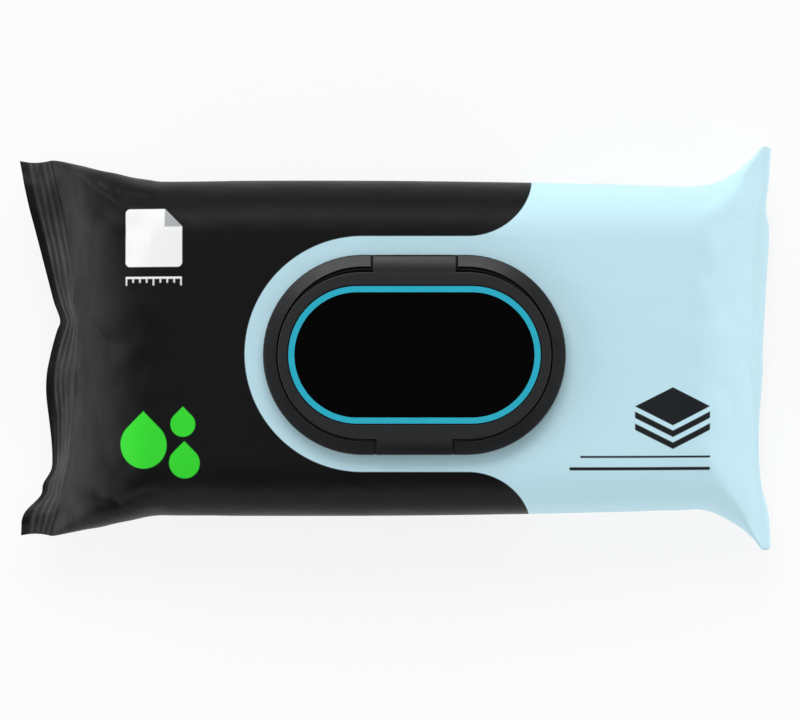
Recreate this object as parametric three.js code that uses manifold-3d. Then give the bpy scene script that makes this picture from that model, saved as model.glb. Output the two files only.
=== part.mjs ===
// Wet wipes pack: a flow-wrapped film pouch full of moist wipes, lying on its back,
// with a flip-top dispensing lid glued to its front panel.
// Millimetres. X runs along the pack, Y across it and Z up. The origin is on the surface
// that the pack lies on, under the middle of its outline.

import * as THREE from "three";
import { mergeVertices } from "three/addons/utils/BufferGeometryUtils.js";
import Module from "manifold-3d";

const wasm = await Module();
wasm.setup();

// Driving dimensions of the film pouch
const PACK_LENGTH = 259; // over the corners of the two end seals
const BODY_WIDTH = 114.5; // across the rounded sides, where the ends begin
const BODY_BULGE = 0.8; // how much further each side stands out half way along
const BODY_HEIGHT = 42; // back panel to front panel
const SIDE_RADIUS = 20; // rounding of the long edges
const SEAL_BAND = 11.5; // width of a crimped end seal
const SEAL_THICKNESS = 0.8;
// Each end of the pouch: how far it reaches from the body to its seal, half of the seal's length,
// how much the middle of the seal is drawn in, the seal's height, and how far its band hangs over.
const LEFT_END = { side: -1, reach: 37, ear: 65, bow: 9.5, sealHeight: 18, droopDeg: 8 };
const RIGHT_END = { side: 1, reach: 23.7, ear: 69.5, bow: 3.5, sealHeight: 15.5, droopDeg: 68 };

// Driving dimensions of the flip-top lid
const LID_X = 6; // middle of the lid on the front panel
const LID_Y = -2.3;
const ADHESIVE = 0.3; // thickness of the glue line under the frame
const ADHESIVE_INSET = 1.5; // how far the glue stays back from the frame's edges
const FRAME_LENGTH = 100.8;
const FRAME_WIDTH = 66.6;
const FLOOR = 1.2; // thickness of the frame's floor
const RING_WIDTH = 4; // the raised border round the lid
const RING_HEIGHT = 6; // above the frame's underside
const ROUND_IN = 3; // rounding of the border's outer edge, inwards
const ROUND_DOWN = 3.4; // and downwards
const FLOOR_END = 10.4; // floor between the border and the dispensing opening, at the ends
const FLOOR_SIDE = 12.3; // and along the sides
const RIM_WALL = 1.4; // upstand round the dispensing opening
const RIM_HEIGHT = 2.6; // above the floor
const LID_GAP = 0.7; // between the lid and the border
const LID_PROUD = 0.5; // how far the lid's top stands above the border
const LID_PANEL = 1.4; // thickness of the lid's top
const LID_SKIRT = 1.2; // thickness of the wall round the lid
const LID_EDGE_ROUND = 0.8;
const FLOOR_CLEARANCE = 0.3; // under the lid's skirt
const SEAL_RING_WALL = 1; // the lid's inner ring, which closes round the upstand
const SEAL_RING_CLEARANCE = 0.4; // between that ring and the upstand
const SEAL_RING_STANDOFF = 0.8; // between that ring's edge and the floor
const HINGE_TAB = 27.4; // width of the lid's tab at the hinge
const THUMB_TAB = 25; // width of the tab that lifts the lid
const TAB_GAP = 0.8; // at each side of a tab
const HINGE_DROP = 2.6; // hinge line below the lid's top
const WEB_THICKNESS = 0.4; // the thin strip that bends
const WEB_HEIGHT = 1;
const WEB_SETBACK = 0.5; // how much shorter the strip is than the tab, at each end
const THUMB_TAB_UNDER = 3.2; // underside of the thumb tab above the frame's underside

// Driving dimensions of the labels
const LABEL_MARGIN_X = 3.4; // from the lid's ends to its label
const LABEL_MARGIN_Y = 5.6; // from the lid's long sides to its label
const LABEL_CLEARANCE = 0.3; // round the label in its recess
const LABEL_RECESS = 0.5;
const LABEL_THICKNESS = 0.4;
const PEEL_MARGIN = 3; // from the opening's edge to the peel seal
const PEEL_THICKNESS = 0.3;
const PULL_TAB_LENGTH = 9; // of which half lies on the peel seal
const PULL_TAB_WIDTH = 13;

// Fineness of the round stretches
const STADIUM_SEGMENTS = 14; // in each half circle
const ROUND_SEGMENTS = 4; // in a rounded edge
const SECTION_POINTS = 52; // round the pouch
const BODY_STEPS = 5; // along the body of the pouch
const END_STEPS = 7; // along each end of the pouch
const OVERSIZE = 5; // how far a cutting block runs past what it cuts

const radians = THREE.MathUtils.degToRad;
const lerp = THREE.MathUtils.lerp;

// Solids from closed geometry, and back

function solid(geometry) {
  const bare = geometry.clone();
  bare.deleteAttribute("normal");
  bare.deleteAttribute("uv");
  const merged = mergeVertices(bare, 1e-4);
  return new wasm.Manifold(
    new wasm.Mesh({
      numProp: 3,
      vertProperties: merged.getAttribute("position").array,
      triVerts: new Uint32Array(merged.index.array),
    }),
  );
}

function geometryOf(manifold) {
  const mesh = manifold.getMesh();
  const geometry = new THREE.BufferGeometry();
  geometry.setAttribute("position", new THREE.BufferAttribute(mesh.vertProperties, 3));
  geometry.setIndex(new THREE.BufferAttribute(mesh.triVerts, 1));
  geometry.computeVertexNormals();
  return geometry;
}

function block(width, depth, height, x, y, z) {
  const geometry = new THREE.BoxGeometry(width, depth, height);
  return solid(geometry.translate(x, y, z + height / 2));
}

// Stadium outlines: two half circles joined by straight sides along X

function stadium(length, width) {
  const radius = width / 2;
  const half = length / 2 - radius;
  const shape = new THREE.Shape();
  shape.absarc(half, 0, radius, -Math.PI / 2, Math.PI / 2, false);
  shape.absarc(-half, 0, radius, Math.PI / 2, (3 * Math.PI) / 2, false);
  return shape;
}

function stadiumSlab(length, width, low, high) {
  const geometry = new THREE.ExtrudeGeometry(stadium(length, width), {
    depth: high - low,
    bevelEnabled: false,
    curveSegments: STADIUM_SEGMENTS,
  });
  return solid(geometry.translate(0, 0, low));
}

// A stadium slab whose top edge is rounded by `inwards` across and `downwards` in height
function roundedSlab(length, width, low, high, inwards, downwards) {
  const geometry = new THREE.ExtrudeGeometry(stadium(length - 2 * inwards, width - 2 * inwards), {
    depth: high - low,
    bevelEnabled: true,
    bevelSize: inwards,
    bevelThickness: downwards,
    bevelSegments: ROUND_SEGMENTS,
    curveSegments: STADIUM_SEGMENTS,
  });
  const long = solid(geometry.translate(0, 0, low - downwards));
  const keep = block(length + OVERSIZE, width + OVERSIZE, high - low + OVERSIZE, 0, 0, low);
  return long.intersect(keep);
}

// Film pouch: one rounded section, carried along the pack and squeezed flat at the end seals

const sideRadius = Math.min(SIDE_RADIUS, BODY_HEIGHT / 2 - SEAL_THICKNESS);
const bodyHalfWidth = BODY_WIDTH / 2;
const bodyHalfHeight = BODY_HEIGHT / 2;

function sectionShape() {
  const y = bodyHalfWidth - sideRadius;
  const z = bodyHalfHeight - sideRadius;
  const outline = new THREE.Path();
  outline.absarc(y, z, sideRadius, 0, Math.PI / 2, false);
  outline.absarc(-y, z, sideRadius, Math.PI / 2, Math.PI, false);
  outline.absarc(-y, -z, sideRadius, Math.PI, (3 * Math.PI) / 2, false);
  outline.absarc(y, -z, sideRadius, (3 * Math.PI) / 2, 2 * Math.PI, false);
  outline.closePath();
  return new THREE.Shape(outline.getSpacedPoints(SECTION_POINTS).slice(0, -1));
}

// Where the parts of an end lie along X: the body's end, and the seal's inner and outer lines at the corners
function endLines(end) {
  const outer = (end.side * PACK_LENGTH) / 2;
  const seal = outer - end.side * SEAL_BAND * Math.cos(radians(end.droopDeg));
  return { outer, seal, body: seal - end.side * end.reach };
}

// Stations of an end, from the body out to the seal's edge
function endStations(end) {
  const at = endLines(end);
  const stations = [];
  for (let i = 0; i <= END_STEPS; i++) {
    const u = i / END_STEPS;
    const full = Math.cos((u * Math.PI) / 2);
    stations.push({
      x: lerp(at.body, at.seal, u),
      bow: -end.side * end.bow * u * u,
      halfWidth: lerp(bodyHalfWidth, end.ear, u),
      halfHeight: lerp(SEAL_THICKNESS / 2, bodyHalfHeight, full),
      middle: lerp(end.sealHeight, bodyHalfHeight, full),
    });
  }
  const drop = SEAL_BAND * Math.sin(radians(end.droopDeg));
  stations.push({
    x: at.outer,
    bow: -end.side * end.bow,
    halfWidth: end.ear,
    halfHeight: SEAL_THICKNESS / 2,
    middle: end.sealHeight - drop,
  });
  return stations;
}

function bodyStations() {
  const from = endLines(LEFT_END).body;
  const to = endLines(RIGHT_END).body;
  const stations = [];
  for (let i = 1; i < BODY_STEPS; i++) {
    const u = i / BODY_STEPS;
    stations.push({
      x: lerp(from, to, u),
      bow: 0,
      halfWidth: bodyHalfWidth + BODY_BULGE * Math.sin(u * Math.PI),
      halfHeight: bodyHalfHeight,
      middle: bodyHalfHeight,
    });
  }
  return stations;
}

function pouchGeometry() {
  const stations = [...endStations(LEFT_END).reverse(), ...bodyStations(), ...endStations(RIGHT_END)];
  const steps = stations.length - 1;
  const geometry = new THREE.ExtrudeGeometry(sectionShape(), { depth: steps, steps, bevelEnabled: false });
  const position = geometry.getAttribute("position");
  for (let i = 0; i < position.count; i++) {
    const across = position.getX(i) / bodyHalfWidth;
    const up = position.getY(i) / bodyHalfHeight;
    const station = stations[Math.round(position.getZ(i))];
    position.setXYZ(
      i,
      station.x + station.bow * (1 - across * across),
      across * station.halfWidth,
      station.middle + up * station.halfHeight,
    );
  }
  return geometry;
}

// Flip-top lid. Its own heights count from the front panel of the pouch.

const frameBase = ADHESIVE;
const floorTop = frameBase + FLOOR;
const ringTop = frameBase + RING_HEIGHT;
const lidTop = ringTop + LID_PROUD;
const lidBottom = floorTop + FLOOR_CLEARANCE;
const panelUnder = lidTop - LID_PANEL;
const hingeZ = lidTop - HINGE_DROP;
const frameEdge = FRAME_WIDTH / 2;
const hingeY = frameEdge - WEB_THICKNESS / 2;
const lidLength = FRAME_LENGTH - 2 * (RING_WIDTH + LID_GAP);
const lidWidth = FRAME_WIDTH - 2 * (RING_WIDTH + LID_GAP);
const ringInnerLength = FRAME_LENGTH - 2 * RING_WIDTH;
const ringInnerWidth = FRAME_WIDTH - 2 * RING_WIDTH;
const openingLength = ringInnerLength - 2 * FLOOR_END;
const openingWidth = ringInnerWidth - 2 * FLOOR_SIDE;
const tabDepth = RING_WIDTH + LID_GAP + LID_EDGE_ROUND + LID_SKIRT;
const labelLength = lidLength - 2 * LABEL_MARGIN_X;
const labelWidth = lidWidth - 2 * LABEL_MARGIN_Y;

// A block over the border at the back (side 1) or the front (side -1), in from the frame's outer edge
function borderBlock(side, width, depth, low, high) {
  const middle = side * (frameEdge + OVERSIZE / 2 - depth / 2);
  return block(width, depth + OVERSIZE, high - low, 0, middle, low);
}

// The frame: floor, raised border with a gap for each tab, and an upstand round the opening
function frameSolid() {
  const outer = roundedSlab(FRAME_LENGTH, FRAME_WIDTH, frameBase, ringTop, ROUND_IN, ROUND_DOWN);
  const well = stadiumSlab(ringInnerLength, ringInnerWidth, floorTop, ringTop + OVERSIZE);
  const hingeGap = borderBlock(
    1, HINGE_TAB + 2 * TAB_GAP, RING_WIDTH, hingeZ - WEB_HEIGHT / 2, ringTop + OVERSIZE,
  );
  const thumbGap = borderBlock(-1, THUMB_TAB + 2 * TAB_GAP, RING_WIDTH, floorTop, ringTop + OVERSIZE);
  const upstand = stadiumSlab(
    openingLength + 2 * RIM_WALL, openingWidth + 2 * RIM_WALL, floorTop - FLOOR / 2, floorTop + RIM_HEIGHT,
  );
  const opening = stadiumSlab(openingLength, openingWidth, frameBase - OVERSIZE, ringTop + OVERSIZE);
  return outer.subtract(well).subtract(hingeGap).subtract(thumbGap).add(upstand).subtract(opening);
}

// A tab of the lid: the border's own rounded profile, carried up to the lid's height
function tabSolid(side, width, under) {
  const profile = roundedSlab(FRAME_LENGTH, FRAME_WIDTH, frameBase, lidTop, ROUND_IN, ROUND_DOWN);
  return profile.intersect(borderBlock(side, width, tabDepth, under, lidTop + OVERSIZE));
}

// The lid: a shallow tray with a skirt, an inner ring, two tabs and a recess for its label
function lidSolid() {
  const tray = roundedSlab(lidLength, lidWidth, lidBottom, lidTop, LID_EDGE_ROUND, LID_EDGE_ROUND);
  const hollow = stadiumSlab(
    lidLength - 2 * LID_SKIRT, lidWidth - 2 * LID_SKIRT, lidBottom - OVERSIZE, panelUnder,
  );
  const ringInner = 2 * (RIM_WALL + SEAL_RING_CLEARANCE);
  const ringOuter = ringInner + 2 * SEAL_RING_WALL;
  const ringLow = floorTop + SEAL_RING_STANDOFF;
  const ring = stadiumSlab(
    openingLength + ringOuter, openingWidth + ringOuter, ringLow, panelUnder + LID_PANEL / 4,
  ).subtract(stadiumSlab(openingLength + ringInner, openingWidth + ringInner, lidBottom, panelUnder));
  const hingeTab = tabSolid(1, HINGE_TAB, hingeZ + WEB_HEIGHT / 2);
  const thumbTab = tabSolid(-1, THUMB_TAB, frameBase + THUMB_TAB_UNDER);
  const around = 2 * LABEL_CLEARANCE;
  const recess = stadiumSlab(
    labelLength + around, labelWidth + around, lidTop - LABEL_RECESS, lidTop + OVERSIZE,
  );
  return tray.subtract(hollow).add(ring).add(hingeTab).add(thumbTab).subtract(recess);
}

// The thin strip along the back edge that the lid swings on, moulded with the frame and the lid
function webSolid() {
  return block(
    HINGE_TAB - 2 * WEB_SETBACK, WEB_THICKNESS, WEB_HEIGHT, 0, hingeY, hingeZ - WEB_HEIGHT / 2,
  );
}

// The glue line between the frame's floor and the film
function adhesiveSolid() {
  const outer = stadiumSlab(FRAME_LENGTH - 2 * ADHESIVE_INSET, FRAME_WIDTH - 2 * ADHESIVE_INSET, 0, ADHESIVE);
  const inner = stadiumSlab(
    openingLength + 2 * ADHESIVE_INSET, openingWidth + 2 * ADHESIVE_INSET, -OVERSIZE, ADHESIVE + OVERSIZE,
  );
  return outer.subtract(inner);
}

// The peel-off seal over the cut in the film, with a pull tab at its right-hand end
function peelSealSolid() {
  const length = openingLength - 2 * PEEL_MARGIN - PULL_TAB_LENGTH / 2;
  const width = openingWidth - 2 * PEEL_MARGIN;
  const seal = stadiumSlab(length, width, 0, PEEL_THICKNESS);
  const tab = stadiumSlab(2 * PULL_TAB_LENGTH, PULL_TAB_WIDTH, 0, PEEL_THICKNESS);
  const moved = tab.translate([length / 2 - PULL_TAB_LENGTH / 2, 0, 0]);
  return seal.add(moved).translate([-PULL_TAB_LENGTH / 4, 0, 0]);
}

function labelSolid() {
  const seat = lidTop - LABEL_RECESS;
  return stadiumSlab(labelLength, labelWidth, seat, seat + LABEL_THICKNESS);
}

// Materials

const blackFilm = new THREE.MeshStandardMaterial({ color: 0x242324, roughness: 0.45, metalness: 0 });
const charcoalPlastic = new THREE.MeshStandardMaterial({ color: 0x2b2a2d, roughness: 0.5, metalness: 0 });
const blackLabel = new THREE.MeshStandardMaterial({ color: 0x030304, roughness: 0.2, metalness: 0 });
const whiteFilm = new THREE.MeshStandardMaterial({ color: 0xe4eaec, roughness: 0.4, metalness: 0 });
const clearGlue = new THREE.MeshStandardMaterial({ color: 0xd8d2bd, roughness: 0.4, metalness: 0 });

// The pack, put together

function piece(name, geometry, material) {
  const mesh = new THREE.Mesh(geometry, material);
  mesh.name = name;
  return mesh;
}

const pack = new THREE.Group();
pack.add(piece("film_pouch", pouchGeometry(), blackFilm));

const flipTop = new THREE.Group();
flipTop.position.set(LID_X, LID_Y, BODY_HEIGHT);
flipTop.add(piece("peel_seal", geometryOf(peelSealSolid()), whiteFilm));
flipTop.add(piece("lid_adhesive", geometryOf(adhesiveSolid()), clearGlue));
flipTop.add(piece("lid_frame", geometryOf(frameSolid()), charcoalPlastic));
flipTop.add(piece("living_hinge", geometryOf(webSolid()), charcoalPlastic));
flipTop.add(piece("flip_lid", geometryOf(lidSolid()), charcoalPlastic));
flipTop.add(piece("lid_label", geometryOf(labelSolid()), blackLabel));
pack.add(flipTop);

export default pack;
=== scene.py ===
"""Wet wipes pack: a printed film pouch with a flip-top lid, lying on its back.

Sizes and places are in millimetres, apart from the studio's, and the meshes are made in metres.
"""

import math

import bmesh
import bpy
from mathutils import Matrix, Vector, noise
from mathutils.bvhtree import BVHTree
from mathutils.geometry import intersect_point_line


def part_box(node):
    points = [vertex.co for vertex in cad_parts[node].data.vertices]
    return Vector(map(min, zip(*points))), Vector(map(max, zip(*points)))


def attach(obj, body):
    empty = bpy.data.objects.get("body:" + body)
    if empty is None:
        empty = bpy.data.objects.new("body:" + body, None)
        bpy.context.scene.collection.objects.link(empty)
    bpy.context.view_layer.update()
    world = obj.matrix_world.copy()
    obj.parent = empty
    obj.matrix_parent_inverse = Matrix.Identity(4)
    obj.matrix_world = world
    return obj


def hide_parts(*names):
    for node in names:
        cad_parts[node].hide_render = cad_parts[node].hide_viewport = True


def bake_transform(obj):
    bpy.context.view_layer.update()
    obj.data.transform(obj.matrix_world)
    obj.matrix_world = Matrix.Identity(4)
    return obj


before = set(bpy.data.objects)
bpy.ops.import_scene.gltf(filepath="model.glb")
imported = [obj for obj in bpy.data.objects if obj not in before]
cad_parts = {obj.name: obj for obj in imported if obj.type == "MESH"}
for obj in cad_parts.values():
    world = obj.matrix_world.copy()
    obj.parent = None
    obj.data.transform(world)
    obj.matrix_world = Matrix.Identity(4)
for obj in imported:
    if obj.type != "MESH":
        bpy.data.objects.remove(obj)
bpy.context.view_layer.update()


# Film pouch. One web of printed film is wrapped round the stack of moist wipes, welded along the back,
# and crimped flat between heated bars at both ends, so the tube flares out into ears at the seals.
# The left seal lies out nearly flat and is buckled near its middle, and the right one hangs down.

MM = 0.001

pouch_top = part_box("film_pouch")[1].z / MM
GIRTH_SEGMENTS = 152
FILM_LIFT = 0.55  # the weld under the pouch holds its film this far off the table
BODY_BULGE = 0.9  # how far the sides swell out halfway along the body
SIDE_RADIUS = 20.0  # of the film's turn from the front and the back into its sides
CROWN = 3.4  # how much lower the front panel is at its ends than under the lid
FLAT_FROM, FLAT_TO = -46.0, 58.0  # the flat stretch that carries the lid
SEAL_BAND = 11.5
SEAL_HALF_THICKNESS = 0.35
SEAL_WAVE, SEAL_WAVE_SIZE = 1.6, 30.0  # the slow rise and fall of the seals
SEAL_RIBS = 5
RIB_HEIGHT = 0.2
RIBS_RISE, RIBS_TO, RIBS_FADE = 0.1, 0.8, 0.12  # as shares of the band, whose outer strip is not ribbed
PRESS_ACROSS, PRESS_ALONG = 2.0, 14.0  # the jaws press in patches: how many across a band, and how long
RIB_SHIFT = 0.5  # how far a patch moves its ribs, as a share of a rib
FIN_STEP = 0.4  # the folded back weld runs out into the bands and lifts them this far
STEP_FROM, STEP_RISE, STEP_TO, STEP_FALL = -26.0, 14.0, -4.5, 1.5

# Each end, from the body to its seal: where it begins and where the seal's inner line has its corners,
# half of its width at the body and at the seal, how far the seal's middle is drawn in, the seal's height,
# how fast the film widens and closes, how slack it is by the seal, how the seal levels out and narrows, and
# the buckle in the seal: where it is, how wide, how far in, how high and how far it leans as it runs out.
LEFT_END = {
    "body": -81.0, "corner": -118.2, "body_width": 57.1, "ear": 64.8, "bow": 8.8,
    "height": 20.0, "widening": 1.05, "closing": 1.35, "slack": 1.0,
    "levels": 1.8, "waist": 0.01, "buckle": (9.0, 7.0, 1.6, 3.4, 11.0),
}
RIGHT_END = {
    "body": 100.5, "corner": 125.8, "body_width": 55.3, "ear": 69.8, "bow": -3.7,
    "height": 16.0, "widening": 2.2, "closing": 1.75, "slack": 0.5,
    "levels": 0.85, "waist": -0.006, "buckle": (-4.0, 9.0, -0.6, 1.2, 0.0),
}
# Outer edge of each seal, seen from above: (across, along) from the far corner to the near one.
LEFT_EDGE = [
    (64.8, -129.4), (42.0, -124.4), (16.5, -118.3), (9.0, -115.7), (6.5, -116.9), (-3.5, -119.4),
    (-14.5, -120.4), (-41.0, -119.2), (-47.0, -122.3), (-50.5, -122.6), (-56.0, -127.4), (-64.8, -129.3),
]
RIGHT_EDGE = [
    (69.8, 130.2), (58.0, 129.4), (49.0, 128.4), (41.0, 129.4), (22.0, 128.5),
    (-5.5, 127.0), (-30.0, 126.1), (-47.0, 127.0), (-57.0, 129.4), (-69.8, 130.2),
]
# Rows of film along the pack, zone by zone from the left seal's edge to the right seal's edge.
SEAL_ROWS = 26
LEFT_ROWS = 26
BODY_ROWS = 44
RIGHT_ROWS = 22
film_rows = 2 * SEAL_ROWS + LEFT_ROWS + BODY_ROWS + RIGHT_ROWS


def mix(a, b, t):
    """A value on the way from a to b."""
    return a + (b - a) * t


def ease(t):
    """From 0 to 1 with a soft start and a soft end."""
    t = min(max(t, 0.0), 1.0)
    return t * t * (3.0 - 2.0 * t)


def through(points, y):
    """A smooth line through given (y, x) points, which run from the largest y down."""
    k = next((k for k in range(len(points) - 2) if y >= points[k + 1][0]), len(points) - 2)
    (y0, x0), (y1, x1) = points[k], points[k + 1]
    y_before, x_before = points[max(k - 1, 0)]
    y_after, x_after = points[min(k + 2, len(points) - 1)]
    span = y1 - y0
    t = min(max((y - y0) / span, 0.0), 1.0)
    leave = (x1 - x_before) / (y1 - y_before) * span
    arrive = (x_after - x0) / (y_after - y0) * span
    return mix(x0, x1, ease(t)) + t * (1 - t) * (leave * (1 - t) - arrive * t)


def rounded_section(half_width, half_height, share):
    """A point on a quarter of the film's section, at a share of the way from its side to its middle."""
    radius = min(SIDE_RADIUS, half_height)
    upright = half_height - radius
    bend = radius * math.pi / 2
    run = share * (upright + bend + half_width - radius)
    if run < upright:
        return half_width, run
    if run < upright + bend:
        angle = (run - upright) / radius
        return half_width - radius + radius * math.cos(angle), upright + radius * math.sin(angle)
    return half_width - radius - (run - upright - bend), half_height


def crown(x):
    """How far the front panel has dropped at a place along the pack."""
    left = max(FLAT_FROM - x, 0) / (FLAT_FROM - LEFT_END["body"])
    right = max(x - FLAT_TO, 0) / (RIGHT_END["body"] - FLAT_TO)
    return CROWN * (left**2 + right**2)


def body_point(u, share, side, top):
    """A point of the film round the wipes; side and top are 1 or -1."""
    x = mix(LEFT_END["body"], RIGHT_END["body"], u)
    half_width = mix(LEFT_END["body_width"], RIGHT_END["body_width"], u) + BODY_BULGE * math.sin(math.pi * u)
    half_height = (pouch_top - crown(x) - FILM_LIFT) / 2
    y, z = rounded_section(half_width, half_height, share)
    return Vector((x, side * y, FILM_LIFT + half_height + top * z))


def end_point(end, u, share, side, top):
    """A point of an end's film, which closes and widens from the body (u = 0) to the seal (u = 1)."""
    full = (pouch_top - CROWN - FILM_LIFT) / 2
    close = u ** end["closing"]
    half_width = mix(end["body_width"], end["ear"], u ** end["widening"])
    y, z = rounded_section(half_width, mix(full, SEAL_HALF_THICKNESS, close), share)
    drawn_in = end["bow"] * u * u * (1 - (y / half_width) ** 2)
    where, width, inward, height, lean = end["buckle"]
    buckle = u**3 * math.exp(-abs(side * y - where + lean * (1 - u)) / width)
    x = mix(end["body"], end["corner"], u) + drawn_in + inward * buckle
    swell = noise.noise(Vector((side * y / SEAL_WAVE_SIZE, end["ear"], 0)))
    wave = height * buckle + SEAL_WAVE * u**2 * swell
    return Vector((x, side * y, mix(FILM_LIFT + full, end["height"], close) + wave + top * z))


def crimp(end, u, y):
    """How firmly the jaws press at a point of the band, and how far up or down their rib is there."""
    pressed = ease(u / RIBS_RISE) * ease((RIBS_TO - u) / RIBS_FADE)
    uneven = noise.noise(Vector((u * PRESS_ACROSS, y / PRESS_ALONG, end["ear"])))
    return pressed, (1 + uneven) * math.sin(2 * math.pi * (SEAL_RIBS * u + RIB_SHIFT * uneven))


def seal_point(end, edge, u, share, side, top):
    """A point of the crimped band, which leaves the pouch along its slope and levels out further out."""
    inner = end_point(end, 1.0, share, side, top)
    other = end_point(end, 1.0, share, side, -top)
    inner.z = mix(inner.z, (inner.z + other.z) / 2, u**6)  # the two webs meet at the edge
    run = through(edge, inner.y) - inner.x
    drop = math.sqrt(max(SEAL_BAND**2 - run**2, 0.0))
    upright = Vector((drop * math.copysign(1, run), 0, abs(run))) / math.hypot(run, drop)
    pressed, rib = crimp(end, u, inner.y)
    step = FIN_STEP * ease((inner.y - STEP_FROM) / STEP_RISE) * ease((STEP_TO - inner.y) / STEP_FALL)
    fall = drop * (1 - (1 - u) ** end["levels"])
    waist = 1 - end["waist"] * math.sin(math.pi * u)
    band = Vector((inner.x + run * u, inner.y * waist, inner.z - fall))
    return band + upright * (RIB_HEIGHT * pressed * rib + step)


def film_point(row, share, side, top):
    """Where the film lies at a row along the pack and a share of the way from a side to the middle."""
    if row <= SEAL_ROWS:
        return seal_point(LEFT_END, LEFT_EDGE, 1 - row / SEAL_ROWS, share, side, top)
    row -= SEAL_ROWS
    if row <= LEFT_ROWS:
        return end_point(LEFT_END, 1 - row / LEFT_ROWS, share, side, top)
    row -= LEFT_ROWS
    if row <= BODY_ROWS:
        return body_point(row / BODY_ROWS, share, side, top)
    row -= BODY_ROWS
    if row <= RIGHT_ROWS:
        return end_point(RIGHT_END, row / RIGHT_ROWS, share, side, top)
    return seal_point(RIGHT_END, RIGHT_EDGE, (row - RIGHT_ROWS) / SEAL_ROWS, share, side, top)


# This lightening is partly the whitening of creased film and partly painted light, which lightens the left
# end's slopes and the crests of the crimp's ribs in place of lamp light.
WEAR_AND_SHEEN_BY_SEALS, WEAR_AND_SHEEN_IN_RIBS = 0.4, 0.5  # as shares of the wear and painted light along the tops of the ribs
WEAR_AND_SHEEN_FROM, WEAR_AND_SHEEN_OVER = 12.0, 20.0  # by the seals the wear and painted light begin this far past the body and grow over this length


def wear_and_sheen(row, place):
    """How far the film is lightened, partly by the whitening of creased film and partly by painted light on
    the end slopes and the ribs' crests: a little by the seals, and most along the crimp's ribs.
    """
    for end, u in ((LEFT_END, 1 - row / SEAL_ROWS), (RIGHT_END, 1 - (film_rows - row) / SEAL_ROWS)):
        if u > 0:
            pressed, rib = crimp(end, u, place.y)
            return max(pressed * mix(WEAR_AND_SHEEN_IN_RIBS, 1.0, ease(rib)), WEAR_AND_SHEEN_BY_SEALS * ease(1 - u / RIBS_RISE))
    past_body = max(LEFT_END["body"] - place.x, place.x - RIGHT_END["body"])
    return WEAR_AND_SHEEN_BY_SEALS * ease((past_body - WEAR_AND_SHEEN_FROM) / WEAR_AND_SHEEN_OVER)


bm = bmesh.new()
bmesh.ops.create_cone(bm, cap_ends=False, segments=GIRTH_SEGMENTS, radius1=1, radius2=1, depth=film_rows)
long_edges = [e for e in bm.edges if abs(e.verts[0].co.z - e.verts[1].co.z) > 1]
bmesh.ops.subdivide_edges(bm, edges=long_edges, cuts=film_rows - 1, use_grid_fill=True)
rows = [round(v.co.z + film_rows / 2) for v in bm.verts]
worn_and_sheen = bm.verts.layers.float.new("worn_and_sheen")
for v, row in zip(bm.verts, rows):
    share = math.asin(min(abs(v.co.y), 1.0)) / (math.pi / 2)
    v.co = film_point(row, share, math.copysign(1, v.co.x), math.copysign(1, v.co.y))
    v[worn_and_sheen] = wear_and_sheen(row, v.co)
bm.normal_update()

# The film can bend but hardly stretch. More of it comes to each end than its flat seal takes up, so it is
# let go there as a cloth, blown out a little by the air in the pack, and settles into folds.
SIM_SCALE = 0.01  # the cloth is run at ten times life size
FILM_STEPS = 30
FILM_SLACK = 0.06  # spare length by the seals, as a share
HELD_IN = 34.0  # over this length the wipes take hold of the film
UNDERSIDE, UNDERSIDE_HELD = 4.0, 10.0  # film below this height is held this much further out
UNEVEN, UNEVEN_SIZE = 0.6, 9.0  # film is never quite smooth, which gives its folds a start


def held(row, place):
    """How firmly the film is held at a point, by the crimp or by the wipes behind it."""
    if row <= SEAL_ROWS or row >= film_rows - SEAL_ROWS:
        return 1.0
    inside = min(place.x - LEFT_END["body"], RIGHT_END["body"] - place.x)
    further = UNDERSIDE_HELD if place.z < UNDERSIDE else 0.0
    return ease((inside + further) / HELD_IN)


def slack(row):
    """How slack the film is at a row: most by the seals."""
    left = 1 - (row - SEAL_ROWS) / LEFT_ROWS
    right = 1 - (film_rows - SEAL_ROWS - row) / RIGHT_ROWS
    return ease(left) * LEFT_END["slack"] + ease(right) * RIGHT_END["slack"]


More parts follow.
